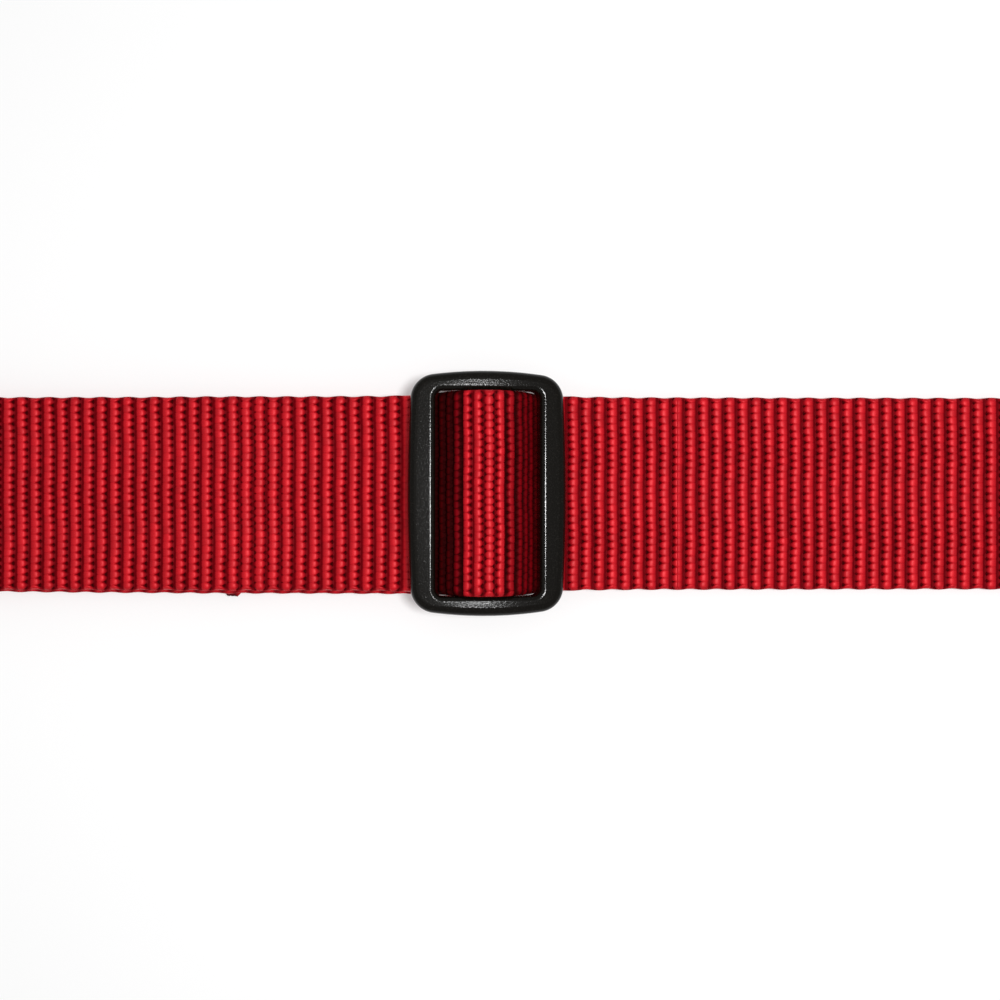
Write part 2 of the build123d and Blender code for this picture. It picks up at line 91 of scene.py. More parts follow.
class WebbingSettings(bpy.types.PropertyGroup):
    """Sizes and colours of the ribbed webbing."""

    width: length("Width", "Width of the webbing", 25 * MM)
    thickness: length("Thickness", "Thickness over the rib tops", 1.3 * MM)
    layer_gap: length("Layer Gap", "Air between layers that lie on each other", 0.05 * MM)
    rib_pitch: length("Rib Pitch", "From one rib to the next", 1.734 * MM)
    right_rib_pitch: length("Right Rib Pitch", "From one rib to the next on the right side", 1.715 * MM)
    arch_rib_pitch: length("Arch Rib Pitch", "From rib to rib on the arch over the slider", 1.38 * MM)
    yarns: number("Yarn Pairs", "Pairs of warp yarns across the width", 26.25)
    rib_rise: length("Rib Rise", "How far a rib's back stands above the valleys", 0.42 * MM)
    yarn_round: length("Yarn Roundness", "How far a yarn's back stands above its sides", 0.08 * MM)
    hole_depth: length("Hole Depth", "How deep the gaps at the yarns' ends go below the ribs", 0.56 * MM)
    arch_flare: length("Arch Flare", "How far each selvedge spreads on the arch", 0.36 * MM)
    # steep_shade is painted shade on the arch's steep sides
    steep_shade: share("Steep Shade", "How much darker the filaments look on the arch's steep sides", 0.88)
    lower_shift: length("Lower Layer Shift", "How far the lower layers have slipped to the front", 0.45 * MM)
    left_rib: length("Left Rib Place", "From the slider's middle to a rib's back on its left", 11.74 * MM)
    right_rib: length("Right Rib Place", "From the slider's middle to a rib's back on its right", 11.40 * MM)
    arch_radius: length("Arch Radius", "Radius of the arch over the centre bar", 5.0 * MM)
    # The crest colour is the yarns' own; the flank, valley and hollow colours are darker copies of it,
    # painted shade that deepens with depth
    crest: colour("Crest Colour", "Colour of the yarns' backs", (0.55, 0.006, 0.014))
    flank: colour("Flank Colour", "Colour on the ribs' flanks", (0.33, 0.003, 0.008))
    valley_shade: colour("Valley Colour", "Colour between the ribs", (0.16, 0.0, 0.003))
    hollow: colour("Hollow Colour", "Colour down between the yarns", (0.065, 0.0, 0.001))
    sealed: colour("Sealed Colour", "Colour of the heat-sealed ends", (0.07, 0.004, 0.006))


class HardwareSettings(bpy.types.PropertyGroup):
    """Colours of the slider, the ring, the hook and the thread."""

    plastic: colour("Plastic Colour", "Colour of the slider", (0.0036, 0.0030, 0.0022))
    nickel: colour("Nickel Colour", "Colour of the plated ring and hook", (0.72, 0.70, 0.66))
    steel: colour("Spring Colour", "Colour of the gate's spring", (0.55, 0.55, 0.54))
    thread: colour("Thread Colour", "Colour of the stitching", (0.50, 0.012, 0.022))
    thread_radius: length("Thread Radius", "Radius of the stitching's thread", 0.2 * MM)
    stitch: length("Stitch Length", "Length of one stitch", 2.4 * MM)


class StageSettings(bpy.types.PropertyGroup):
    """The floor, the light and the camera."""

    aim_x: length("Aim Along", "Where the camera looks, along the strap", 8.0 * MM)
    aim_y: length("Aim Across", "Where the camera looks, across the strap", -0.83 * MM)
    distance: length("Camera Distance", "Height of the camera above the strap", 0.175)
    view_width: length("View Width", "Width of what the camera sees at the strap", 130.2 * MM)
    floor: colour("Floor Colour", "Colour of the floor", (0.66, 0.66, 0.66))
    glow: number("Floor Glow", "Light that the floor gives of itself", 0.27)
    ambient: number("Ambient Light", "Strength of the light from all around", 0.42)
    key: number("Key Light", "Power of the small light", 0.68)
    key_size: length("Key Light Size", "Width of the small light", 0.045)
    key_height: length("Key Light Height", "Height of the small light", 0.3)
    key_reach: length("Key Light Reach", "Place of the small light along the strap", 0.056)
    fill: number("Broad Light", "Power of the broad light", 1.2)
    fill_size: length("Broad Light Size", "Width of the broad light", 1.2)
    fill_height: length("Broad Light Height", "Height of the broad light", 1.1)


# Materials


class Channel:
    """A socket's value in a material, so that a pattern is written as a sum."""

    def __init__(self, socket):
        self.socket = socket
        self.tree = socket.id_data

    def math(self, operation, *others):
        inputs = dict(enumerate((self,) + others))
        return add_node(self.tree, "ShaderNodeMath", {"operation": operation}, inputs, "Value")

    def __add__(self, other):
        return self.math("ADD", other)

    __radd__ = __add__

    def __sub__(self, other):
        return self.math("SUBTRACT", other)

    def __rsub__(self, other):
        return self.math("MULTIPLY", -1.0) + other

    def __mul__(self, other):
        return self.math("MULTIPLY", other)

    __rmul__ = __mul__

    def __pow__(self, other):
        return self.math("POWER", other)

    def between(self, low, high):
        """0 at low and 1 at high, with a soft step."""
        inputs = {"Value": self, "From Min": low, "From Max": high}
        settings = {"interpolation_type": "SMOOTHSTEP"}
        return add_node(self.tree, "ShaderNodeMapRange", settings, inputs, "Result")

    def mixed(self, first, second):
        """The first colour where this is 0 and the second where it is 1."""
        inputs = {0: self, 6: rgba(first), 7: rgba(second)}
        return add_node(self.tree, "ShaderNodeMix", {"data_type": "RGBA"}, inputs, 2)


def rgba(value):
    return value if isinstance(value, Channel) else (*value, 1.0)


def add_node(tree, kind, settings=None, inputs=None, output=0):
    """Adds a node, gives it its settings and its sockets' values or links, and returns one output."""
    node = tree.nodes.new(kind)
    for name, value in (settings or {}).items():
        if name == "stops":
            ramp = node.color_ramp
            while len(ramp.elements) < len(value):
                ramp.elements.new(1.0)
            for element, (place, tint) in zip(ramp.elements, value):
                element.position = place
                element.color = rgba(tint)
        else:
            setattr(node, name, value)
    for name, value in (inputs or {}).items():
        if isinstance(value, Channel):
            tree.links.new(value.socket, node.inputs[name])
        else:
            node.inputs[name].default_value = value
    return Channel(node.outputs[output])


def new_material(name, constants):
    """A material with one Principled shader, whose constant sockets are set."""
    material = bpy.data.materials.new(name)
    material.use_nodes = True
    tree = material.node_tree
    tree.nodes.clear()
    shader = tree.nodes.new("ShaderNodeBsdfPrincipled")
    for socket, value in constants.items():
        shader.inputs[socket].default_value = value
    output = tree.nodes.new("ShaderNodeOutputMaterial")
    tree.links.new(shader.outputs[0], output.inputs[0])
    return material, tree, shader


def feed(shader, **channels):
    for name, channel in channels.items():
        shader.id_data.links.new(channel.socket, shader.inputs[name.replace("_", " ").title()])


def noise(tree, place, scale, detail=2.0, roughness=0.5, kind="3D"):
    inputs = {"Vector": place, "Scale": scale, "Detail": detail, "Roughness": roughness}
    return add_node(tree, "ShaderNodeTexNoise", {"noise_dimensions": kind}, inputs, "Fac")


def placed(tree, source, stretch=(1.0, 1.0, 1.0)):
    """Coordinates from the piece's surface or body, stretched in each direction."""
    coordinates = add_node(tree, "ShaderNodeTexCoord", output=source)
    return add_node(tree, "ShaderNodeMapping", None, {"Vector": coordinates, "Scale": stretch})


def bumped(tree, height, strength, distance):
    inputs = {"Height": height, "Strength": strength, "Distance": distance}
    return add_node(tree, "ShaderNodeBump", None, inputs, "Normal")


def webbing_material(look):
    """Satin filament yarn: bright backs, with painted shade by depth on the flanks, between the ribs and in
    the hollows.
    """
    fixed = {"Specular IOR Level": 0.04, "Coat Roughness": 0.44, "Coat IOR": 1.5}
    material, tree, shader = new_material("red_webbing", fixed)
    # The first attribute is the amount of painted shade at each place: by depth, on the arch's steep sides
    # and on the selvedge's weft loops
    depth, tone, seal = (
        add_node(tree, "ShaderNodeAttribute", {"attribute_name": name}, output="Fac")
        for name in ("hollow", "tone", "sealed")
    )
    fibres = noise(tree, placed(tree, "UV", (170.0, 4800.0, 1.0)), 1.0, 2.0, 0.6, "2D")
    strands = noise(tree, placed(tree, "UV", (260.0, 900.0, 1.0)), 1.0, 1.0, 0.5, "2D")
    drift = noise(tree, placed(tree, "UV", (12.0, 20.0, 1.0)), 1.0, 2.0, 0.5, "2D")
    # Painted shade: the ramp runs from the crest colour through ever darker copies of it as a place lies
    # deeper
    stops = [
        (0.0, look.crest),
        (0.14, look.crest),
        (0.4, look.flank),
        (0.72, look.valley_shade),
        (0.88, look.hollow),
        (1.0, [c * 0.35 for c in look.hollow]),
    ]
    ramped = {"Fac": depth + (fibres - 0.5) * 0.10}
    body = add_node(tree, "ShaderNodeValToRGB", {"stops": stops}, ramped, "Color")
    light = {"Vector": body, "Scale": 0.70 + fibres * 0.36 + strands * 0.10 + tone * 0.09 + drift * 0.10}
    shaded = add_node(tree, "ShaderNodeVectorMath", {"operation": "SCALE"}, light, "Vector")
    sealing = seal.between(0.25, 0.9)
    feed(
        shader,
        base_color=sealing.mixed(shaded, look.sealed),
        metallic=(1.0 - depth) * 0.45,
        coat_weight=(1.0 - depth) ** 2.0 * (0.2 + fibres * 0.24),
        roughness=0.46 + fibres * 0.22 + depth * 0.2,
        normal=bumped(tree, fibres * 0.6 + strands * 0.4, 0.35, 0.00006),
    )
    return material


def thread_material(look):
    """Twisted thread with slanting plies."""
    material, tree, shader = new_material("red_thread", {"Sheen Weight": 0.2, "Specular IOR Level": 0.4})
    place = placed(tree, "Object")
    waves = {"Vector": place, "Scale": 1400.0}
    plies = add_node(tree, "ShaderNodeTexWave", {"bands_direction": "DIAGONAL"}, waves, "Fac")
    fuzz = noise(tree, place, 5200.0)
    feed(
        shader,
        # Painted shade in the grooves between the plies, with fuzz that varies the tone at random
        base_color=(plies * 0.6 + fuzz * 0.3).mixed([c * 0.35 for c in look.thread], look.thread),
        roughness=0.45 + fuzz * 0.2,
        normal=bumped(tree, plies, 0.5, 0.00005),
    )
    return material


def plastic_material(look):
    """Moulded plastic with a fine spark-eroded grain, pale scuffs and painted glints on the grain."""
    material, tree, shader = new_material("black_plastic", {"Specular IOR Level": 0.15})
    place = placed(tree, "Object")
    grain = noise(tree, place, 5200.0, 2.0, 0.6)
    cloud = noise(tree, place, 120.0, 2.0)
    scuff = noise(tree, placed(tree, "Object", (240.0, 2600.0, 900.0)), 1.0, 2.0, 0.5).between(0.66, 0.78)
    scuff_and_glint = [min(1.0, c * 3.2 + 0.004) for c in look.plastic]
    feed(
        shader,
        # Pale scuffs, and painted glints on the grain's fine bumps
        base_color=(scuff * 0.3 + grain.between(0.52, 0.72) * 0.5).mixed(look.plastic, scuff_and_glint),
        roughness=0.08 + grain * 0.04 + cloud * 0.03,
        normal=bumped(tree, grain, 1.0, 0.000011),
    )
    return material


def metal_material(name, tint, polish):
    """Plated metal: soft polish marks, fine scratches and a few dull patches."""
    material, tree, shader = new_material(name, {"Metallic": 1.0})
    place = placed(tree, "Object")
    marks = noise(tree, placed(tree, "Object", (60.0, 900.0, 900.0)), 1.0, 3.0, 0.6)
    scratch = noise(tree, placed(tree, "Object", (1400.0, 160.0, 700.0)), 1.0, 2.0, 0.5).between(0.62, 0.72)
    patches = noise(tree, place, 260.0, 3.0, 0.6)
    dull = [c * 0.72 for c in tint]
    feed(
        shader,
        base_color=(patches.between(0.45, 0.75) * 0.5 + scratch * 0.25).mixed(tint, dull),
        roughness=polish + marks * 0.10 + patches * 0.10 + scratch * 0.14,
        normal=bumped(tree, marks * 0.5 + scratch * 0.4 + patches * 0.3, 0.18, 0.00004),
    )
    return material


def finish_nodes(material, *names):
    """Gives CAD nodes a material."""
    for name in names:
        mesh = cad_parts[name].data
        mesh.materials.clear()
        mesh.materials.append(bpy.data.materials[material])


# The webbing's line

# Radii of the bends, and the air between the webbing and the bars that it goes round
GENTLE, STEP_ROUND, SOFT, TURN_ROUND = mm(40, 20, 18, 6)
NECK_ROUND = 4 * MM
RING_GAP, EYE_GAP = mm(0.15, 0.3)

# Where pieces end
RING_DISTANCE = 100 * MM
PASS_LEFT, PASS_RIGHT = mm(49, 25)
RING_SPLIT, NECK_SPLIT = mm(24, 34)
TAIL_REACH, RING_TAIL = mm(34, 28)
UNDER_SPLIT, HOOK_SPLIT = mm(26, 28)
RIGHT_FAR_X = 84 * MM

# The step over the tail's cut end, from that end, then the rise and fall, from the slider's middle
STEP_START, STEP_MIDDLE, STEP_END = mm(22, 9, 1.2)
LIFT_START, LIFT_MIDDLE = mm(26, 16)
SLOPE_MIDDLE, SLOPE_END = mm(21, 62)
STEP_RISE, LIFT_RISE, SLOPE_RISE = mm(0.45, 0.5, 0.85)

# Slopes and flats beside the ring, the hook's eye and the neck turn
RING_SLOPE, RING_FLAT = mm(13, 1.5)
EYE_LOWER_SLOPE, EYE_LOWER_FLAT = mm(16, 3)
EYE_UPPER_SLOPE, EYE_UPPER_FLAT = mm(23, 2)
NECK_SLOPE_START, NECK_SLOPE_END = mm(27, 9)

# How the slider stands, and the rounded edges that the webbing bends round: first a side bar's
# lower edge, then the centre bar
SLIDER_TILT, SLIDER_BASE = radians(6.4), 6.3 * MM
EDGE_ALONG, EDGE_UP, EDGE_ROUND = mm(7.6, 1.0, 1.2)
BAR_ALONG, BAR_UP, BAR_ROUND = mm(1.1, 1.6, 1.1)
BAR_SIDE, BAR_TOP, BAR_UNDERSIDE, BAR_EDGE = mm(2.0, 2.5, 0.3, 0.9)

# How finely bends are drawn, and how many closer ribs lie on either side of the arch's crest
DEGREES_PER_STEP = 1.5
ARCH_RIBS = 5

# How far before and after the return run the lower layers' slip fades out
SLIP_BEFORE, SLIP_AFTER = mm(8, 30)


def heading(start, end):
    return atan2(end[1] - start[1], end[0] - start[0])


def between(start, end, part):
    return start[0] + (end[0] - start[0]) * part, start[1] + (end[1] - start[1]) * part


class StrapLine:
    """The whole strap's middle line in X and Z, from the sewn end in the slider to the one on the ring."""

    def __init__(self, webbing):
        self.x, self.z, self.turn, self.along = [], [], [], []
        self.marks = {}
        self.half = webbing.thickness / 2
        self.pitch = webbing.thickness + webbing.layer_gap
        self.lay(self.corners(webbing))
        self.x, self.z, self.turn, self.along = map(np.array, (self.x, self.z, self.turn, self.along))
        self.count_ribs(webbing)

    def layer(self, count):
        return self.half + count * self.pitch

    def below(self, points, layers):
        """The corners of the line this many layers under another."""
        last = len(points) - 1
        lowered = []
        for index, point in enumerate(points):
            after = heading(points[min(index, last - 1)], points[min(index, last - 1) + 1])
            before = heading(points[max(index, 1) - 1], points[max(index, 1)])
            reach = layers * self.pitch / cos((after - before) / 2)
            middle = (before + after) / 2
            lowered.append((point[0] + reach * sin(middle), point[1] - reach * cos(middle)))
        return lowered

    def corners(self, webbing):
        """The strap's corners: X, Z, the radius of the bend, and a name where a piece ends."""
        half, layer = self.half, self.layer
        ring_low, ring_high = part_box("ring")
        wire = ring_high.z - ring_low.z
        ring_right = ring_high.x - wire / 2
        ring_left = ring_low.x + wire / 2
        ring_z = (ring_low.z + ring_high.z) / 2
        eye_low, eye_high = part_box("hook_eye")
        eye_x = eye_high.x - wire / 2
        eye_z = (eye_low.z + eye_high.z) / 2
        slider_x = ring_right + RING_DISTANCE
        neck_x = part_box("neck_turn")[1].x - NECK_ROUND - half
        ring_bend = wire / 2 + RING_GAP + half
        eye_bend = wire / 2 + EYE_GAP + half
        edge_bend = EDGE_ROUND + half
        loop_bend = BAR_ROUND + half
        tilt = SLIDER_TILT

        def on_slider(along, up):
            x = slider_x + along * cos(tilt) + up * sin(tilt)
            return x, SLIDER_BASE - along * sin(tilt) + up * cos(tilt)

        # The webbing wraps the side bars' lower edges and the sewn loop on the centre bar
        arch_bend = loop_bend + self.pitch
        flank = asin((edge_bend + arch_bend) / hypot(EDGE_ALONG - BAR_ALONG, BAR_UP - EDGE_UP))
        flank += atan2(BAR_UP - EDGE_UP, EDGE_ALONG - BAR_ALONG)
        low_along = EDGE_ALONG - edge_bend * tan(flank / 2)
        high_along = BAR_ALONG + arch_bend * tan(flank / 2)
        low_up, high_up = EDGE_UP - edge_bend, BAR_UP + arch_bend
        climb_left, climb_right = on_slider(-low_along, low_up), on_slider(low_along, low_up)
        crest_left, crest_right = on_slider(-high_along, high_up), on_slider(high_along, high_up)
        arch_top = on_slider(0, low_up + low_along * tan(flank))

        tail_end = slider_x - TAIL_REACH
        step_low = (tail_end - STEP_START, layer(2))
        step_half = (tail_end - STEP_MIDDLE, layer(2) + STEP_RISE)
        step_high = (tail_end - STEP_END, layer(3))
        lift_low = (slider_x - LIFT_START, layer(3))
        lift_half = (slider_x - LIFT_MIDDLE, layer(3) + LIFT_RISE)
        slope_half = (slider_x + SLOPE_MIDDLE, layer(1) + SLOPE_RISE)
        slope_low = (slider_x + SLOPE_END, layer(1))
        left_x, right_x = slider_x - PASS_LEFT, slider_x + PASS_RIGHT
        left = between(step_low, step_half, (left_x - step_low[0]) / (step_half[0] - step_low[0]))
        right = between(slope_half, slope_low, (right_x - slope_half[0]) / (slope_low[0] - slope_half[0]))
        ring_split = ring_right + RING_SPLIT
        neck_split = neck_x - NECK_SPLIT
        slack_x = right_x + (neck_split - right_x) * 2 / 3
        climb = [left, step_half, step_high, lift_low, lift_half, climb_left, crest_left]
        back = self.below(climb + [crest_right], 1)[:7]
        tail = self.below([(tail_end, layer(3))] + climb[3:], 2)[:4]
        side = BAR_SIDE + loop_bend - BAR_EDGE
        top, bottom = BAR_TOP + loop_bend - BAR_EDGE, BAR_UNDERSIDE - loop_bend + BAR_EDGE
        low_run = self.below([(ring_split, layer(2)), step_low, left], 1)
        neck_top = layer(0) + 2 * NECK_ROUND
        self.fixed = {
            "slider": slider_x, "left": left_x, "right": right_x, "ring_split": ring_split,
            "slack": slack_x, "neck_split": neck_split, "ring_left": ring_left,
        }
        return [
            (*tail[0], 0, "tail"),
            (*tail[1], GENTLE),
            (*tail[2], GENTLE),
            (*tail[3], 3 * loop_bend),
            (*on_slider(-BAR_EDGE, bottom), 2 * loop_bend),
            (*on_slider(side, bottom), loop_bend),
            (*on_slider(side, top), loop_bend),
            (*back[6], loop_bend),
            (*back[5], edge_bend + self.pitch),
            (*back[4], GENTLE),
            (*back[3], GENTLE),
            (*back[2], STEP_ROUND),
            (*back[1], GENTLE),
            (*back[0], 0, "return_start"),
            (*low_run[1], GENTLE + self.pitch),
            (ring_split, layer(1), 0, "return_end"),
            (ring_right - ring_bend, layer(1), ring_bend),
            (ring_right - ring_bend, ring_z + ring_bend, ring_bend),
            (ring_right + RING_FLAT, ring_z + ring_bend, TURN_ROUND),
            (ring_split - TURN_ROUND, layer(2), SOFT),
            (ring_split, layer(2), 0, "left_start"),
            (*step_low, GENTLE),
            (*left, 0, "pass_start"),
            (*step_half, GENTLE),
            (*step_high, STEP_ROUND),
            (*lift_low, GENTLE),
            (*lift_half, GENTLE),
            (*climb_left, edge_bend),
            (*arch_top, webbing.arch_radius, "crest"),
            (*climb_right, edge_bend),
            (*slope_half, GENTLE),
            (*right, 0, "pass_end"),
            (*slope_low, GENTLE),
            (RIGHT_FAR_X, layer(1), 0, "right_far"),
            (slack_x, layer(1), 0, "slack"),
            (neck_split, layer(1), 0, "neck_start"),
            (neck_x - NECK_SLOPE_START, layer(1), SOFT),
            (neck_x - NECK_SLOPE_END, neck_top, SOFT),
            (neck_x + NECK_ROUND, neck_top, NECK_ROUND),
            (neck_x + NECK_ROUND, layer(0), NECK_ROUND),
            (neck_split, layer(0), 0, "neck_end"),
            (eye_x + UNDER_SPLIT, layer(0), 0, "under_end"),
            (eye_x + EYE_LOWER_SLOPE, layer(0), GENTLE),
            (eye_x + EYE_LOWER_FLAT, eye_z - eye_bend, SOFT),
            (eye_x - eye_bend, eye_z - eye_bend, eye_bend),
            (eye_x - eye_bend, eye_z + eye_bend, eye_bend),
            (eye_x + EYE_UPPER_FLAT, eye_z + eye_bend, SOFT / 2),
            (eye_x + EYE_UPPER_SLOPE, layer(2), SOFT),
            (eye_x + HOOK_SPLIT, layer(2), 0, "hook_end"),
            (ring_left - RING_SLOPE, layer(2), SOFT),
            (ring_left - RING_FLAT, ring_z + ring_bend, TURN_ROUND),
            (ring_left + ring_bend, ring_z + ring_bend, ring_bend),
            (ring_left + ring_bend, layer(1), ring_bend),
            (ring_left - RING_TAIL, layer(1), 0, "ring_tail"),
        ]

    def lay(self, corners):
        """Runs straight between the corners and round an arc at each."""
        direction = heading(corners[0], corners[1])
        self.add(corners[0][:2], direction)
        for index, corner in enumerate(corners):
            name = corner[3] if len(corner) > 3 else None
            if 0 < index < len(corners) - 1 and corner[2]:
                onward = heading(corner, corners[index + 1])
                turn = (onward - direction + pi) % (2 * pi) - pi
                self.bend(corner, direction, turn)
                direction += turn
                if name:
                    self.marks[name] = self.along[-1] - corner[2] * abs(turn) / 2
            else:
                if index:
                    self.add(corner[:2], direction)
                if name:
                    self.marks[name] = self.along[-1]

    def add(self, point, direction, travelled=None):
        if travelled is None:
            travelled = hypot(point[0] - self.x[-1], point[1] - self.z[-1]) if self.x else 0.0
        self.along.append(self.along[-1] + travelled if self.along else 0.0)
        self.x.append(point[0])
        self.z.append(point[1])
        self.turn.append(direction)

    def bend(self, corner, direction, turn):
        radius, way = corner[2], (1 if turn > 0 else -1)
        reach = radius * tan(abs(turn) / 2)
        start = (corner[0] - reach * cos(direction), corner[1] - reach * sin(direction))
        centre = (start[0] - way * radius * sin(direction), start[1] + way * radius * cos(direction))
        steps = max(2, int(degrees(abs(turn)) / DEGREES_PER_STEP))
        self.add(start, direction)
        for index in range(1, steps + 1):
            angle = direction + turn * index / steps
            point = (centre[0] + way * radius * sin(angle), centre[1] - way * radius * cos(angle))
            self.add(point, angle, radius * abs(turn) / steps)

    def count_ribs(self, webbing):
        """The rib number at each place. Ribs lie closer on the arch, and one lies on its crest."""
        crest, slider_x = self.marks["crest"], self.fixed["slider"]
        on_pass = (self.along > self.marks["pass_start"]) & (self.along < self.marks["pass_end"])
        left, right = np.interp(
            [slider_x - webbing.left_rib, slider_x + webbing.right_rib], self.x[on_pass], self.along[on_pass]
        )
        arch = ARCH_RIBS * webbing.arch_rib_pitch
        left_rib = -ARCH_RIBS - round((crest - arch - left) / webbing.rib_pitch)
        right_rib = ARCH_RIBS + round((right - crest - arch) / webbing.right_rib_pitch)
        end = self.along[-1]
        self.rib_along = np.array([0, left, crest - arch, crest + arch, right, end])
        first = left_rib - left / webbing.rib_pitch
        last = right_rib + (end - right) / webbing.right_rib_pitch
        self.ribs = np.array([first, left_rib, -ARCH_RIBS, ARCH_RIBS, right_rib, last])

    def rib_at(self, along):
        return float(np.interp(along, self.rib_along, self.ribs))

    def at_ribs(self, ribs):
        """Distance, X, Z and heading at each rib number."""
        along = np.interp(ribs, self.ribs, self.rib_along)
        return along, *(np.interp(along, self.along, values) for values in (self.x, self.z, self.turn))


# The weave

OPEN_AFTER_ROWS = (0, 0.18, 0.3, 0.42, 0.52, 0.64, 0.82)
OPEN_BEFORE_ROWS = (0, 0.18, 0.36, 0.48, 0.58, 0.7, 0.82)
PLAIN_ROWS = (0, 0.25, 0.5, 0.75)

# Where the yarns open over the bend at the tail's end, from the slider's middle, and how widely
TAIL_BEND_REACH, TAIL_BEND_SPREAD = mm(29, 4)
# The slopes, in radians, between which painted shade darkens the arch's steep sides, the right side's share
# of that shade, and how many ribs from the crest it ends
STEEP_FROM, STEEP_TO, RIGHT_STEEP, STEEP_RIBS = 0.3, 0.85, 0.72, 9
# How many yarn pairs of each side the selvedge's rounding and its bulge between the ribs take up
RIM_PAIRS, BULGE_PAIRS = 0.55, 1.5
# How far back from a cut end the webbing is melted and rounded, and the size of its ragged lumps
SEALED_REACH, ROUNDED_REACH, RAGGED_STEP = mm(0.9, 0.5, 0.15)
# The bead of melted yarn at a cut end's corners: how far back its middle lies, and half its length
BEAD_MIDDLE, BEAD_HALF = mm(0.8, 0.95)


def step(value, low, high):
    """0 below low and 1 above high, with a soft step between."""
    part = np.clip((value - low) / (high - low), 0, 1)
    return part * part * (3 - 2 * part)


def scatter(first, second, seed):
    """A repeatable number from -1 to 1 for each pair of whole numbers."""
    value = np.sin(first * 127.1 + second * 311.7 + seed * 74.7) * 43758.5453
    return 2 * (value - np.floor(value)) - 1


def from_float(ribs):
    """How many ribs each place lies past the middle of an even yarn's float, and of an odd yarn's."""
    even = ribs - 2 * np.round(ribs / 2)
    return even, np.where(even > 0, even - 1, even + 1)


def opened(past, gaps):
    """How far the yarns stand open on this side of their float: gaps gives it before and after the rib."""
    return np.where(past > 0, gaps[1], gaps[0])


def yarn_half_width(past, gaps):
    """Half of a yarn's width, in pairs, this many ribs past the middle of its float."""
    gap = opened(past, gaps)
    start, finish = 0.38 - 0.22 * gap, 0.45 + 0.05 * gap
    return 0.5 - 0.4 * np.clip((np.abs(past) - start) / (finish - start), 0, 1)


def yarn_border(even, odd, gaps):
    """Where an even yarn meets its odd neighbour, from the even yarn's middle."""
    over = np.clip(yarn_half_width(even, gaps), 0.08, 0.42)
    under = np.clip(0.5 - yarn_half_width(odd, gaps), 0.08, 0.42)
    return np.where(np.abs(even) < 0.5, over, under)


def face_places(ribs, edge, detail, gaps):
    """Places across one face, in pairs of yarns, a row for each rib number."""
    past_even, past_odd = from_float(ribs)
    border = yarn_border(past_even, past_odd, gaps)
    rising = np.abs(past_even) <= 0.5
    centres = np.arange(-int(edge * 2) / 2, edge + 0.01, 0.5)
    if detail == "hidden":
        centres = np.append(centres[:-1:5], centres[-1])
    rows = []
    for start in centres[:-1]:
        columns = [np.full_like(ribs, start)]
        if detail == "fine":
            a = np.where(rising, border * 0.6, border - 0.03)
            b = np.where(rising, border - 0.03, border + 0.03)
            c = np.where(rising, border + 0.03, 0.5 - 0.6 * (0.5 - border))
            if start % 1:
                a, b, c = 0.5 - c, 0.5 - b, 0.5 - a
            columns += [start + a, start + b, start + c]
        elif detail == "plain":
            columns.append(np.full_like(ribs, start + 0.25))
        rows += columns
    rows.append(np.full_like(ribs, centres[-1]))
    rim = np.full_like(ribs, edge)
    rows = [-rim, -rim + 0.1] + rows + [rim - 0.1, rim]
    return np.stack(rows, axis=1)


def face_height(webbing, ribs, across, gaps, seed):
    """Height of a face below its crests, how deep each place lies, which is used as painted shade, and its
    yarn's tone.
    """
    past_even, past_odd = from_float(ribs)
    even, odd = np.round(across), np.floor(across) + 0.5
    heights, tones = [], []
    for centre, late, past in ((even, 0, past_even), (odd, 1, past_odd)):
        rib = np.round((ribs - late) / 2) * 2 + late
        chance = scatter(rib, centre * 2, seed)
        gap, gone = opened(past, gaps), np.abs(past)
        half = yarn_half_width(past, gaps)
        off = np.abs(across - centre) / half
        dip = webbing.rib_rise * 1.1 * step(gone, 0.14 + 0.06 * gap, 0.42 + 0.1 * gap)
        dip = dip + MM * step(gone, 0.44 + 0.08 * gap, 0.56 + 0.04 * gap)
        back = np.sqrt(np.clip(1 - off**4, 0, 1)) - np.clip((off - 1) * half / 0.07, 0, 1) * 6
        heights.append(webbing.yarn_round * (back - 1) - dip + 0.015 * MM * chance)
        tones.append(scatter(rib, centre * 2, seed + 5))
    upper = heights[0] >= heights[1]
    nearer = np.where(np.abs(past_even) < 0.5, past_even, past_odd)
    gap = opened(nearer, gaps)
    bed = (webbing.hole_depth - webbing.rib_rise) * step(np.abs(nearer), 0.28 + 0.1 * gap, 0.4 + 0.1 * gap)
    height = np.maximum(np.where(upper, heights[0], heights[1]), bed - webbing.hole_depth)
    tone = np.where(upper, tones[0], tones[1])
    return height, np.clip(-height / webbing.hole_depth, 0, 1), tone


def yarn_gaps(line, ribs, fine):
    """How far the yarns stand open before and after each rib: on the side that faces the slider."""
    if not fine:
        return np.zeros_like(ribs), np.zeros_like(ribs)
    past = line.at_ribs(ribs)[1] - line.fixed["slider"]
    over_tail = np.exp(-(((past + TAIL_BEND_REACH) / TAIL_BEND_SPREAD) ** 2))
    before = np.maximum(step(ribs, -1, -0.5), 0.7 * over_tail)
    after = 1 - step(ribs, 0.5, 1) - 0.3 * over_tail
    return before, after


def rib_rows(first, last, fine, sealed):
    """The rib number of each row of a piece's mesh, closer together at a sealed end."""
    whole = np.arange(np.floor(first) - 1, np.ceil(last) + 2)
    if fine:
        steps = np.array([OPEN_AFTER_ROWS if rib < 0 else OPEN_BEFORE_ROWS for rib in whole])
    else:
        steps = np.array([PLAIN_ROWS] * len(whole))
    ribs = (whole[:, None] + steps).ravel()
    ribs = ribs[(ribs > first + 0.02) & (ribs < last - 0.02)]
    ends = [first], [last]
    if sealed == "start":
        ends = first + np.array([0, 0.1, 0.22, 0.34, 0.46]), [last]
        ribs = ribs[ribs > first + 0.5]
    if sealed == "end":
        ends = [first], last - np.array([0.46, 0.34, 0.22, 0.1, 0])
        ribs = ribs[ribs < last - 0.5]
    return np.concatenate((ends[0], ribs, ends[1]))


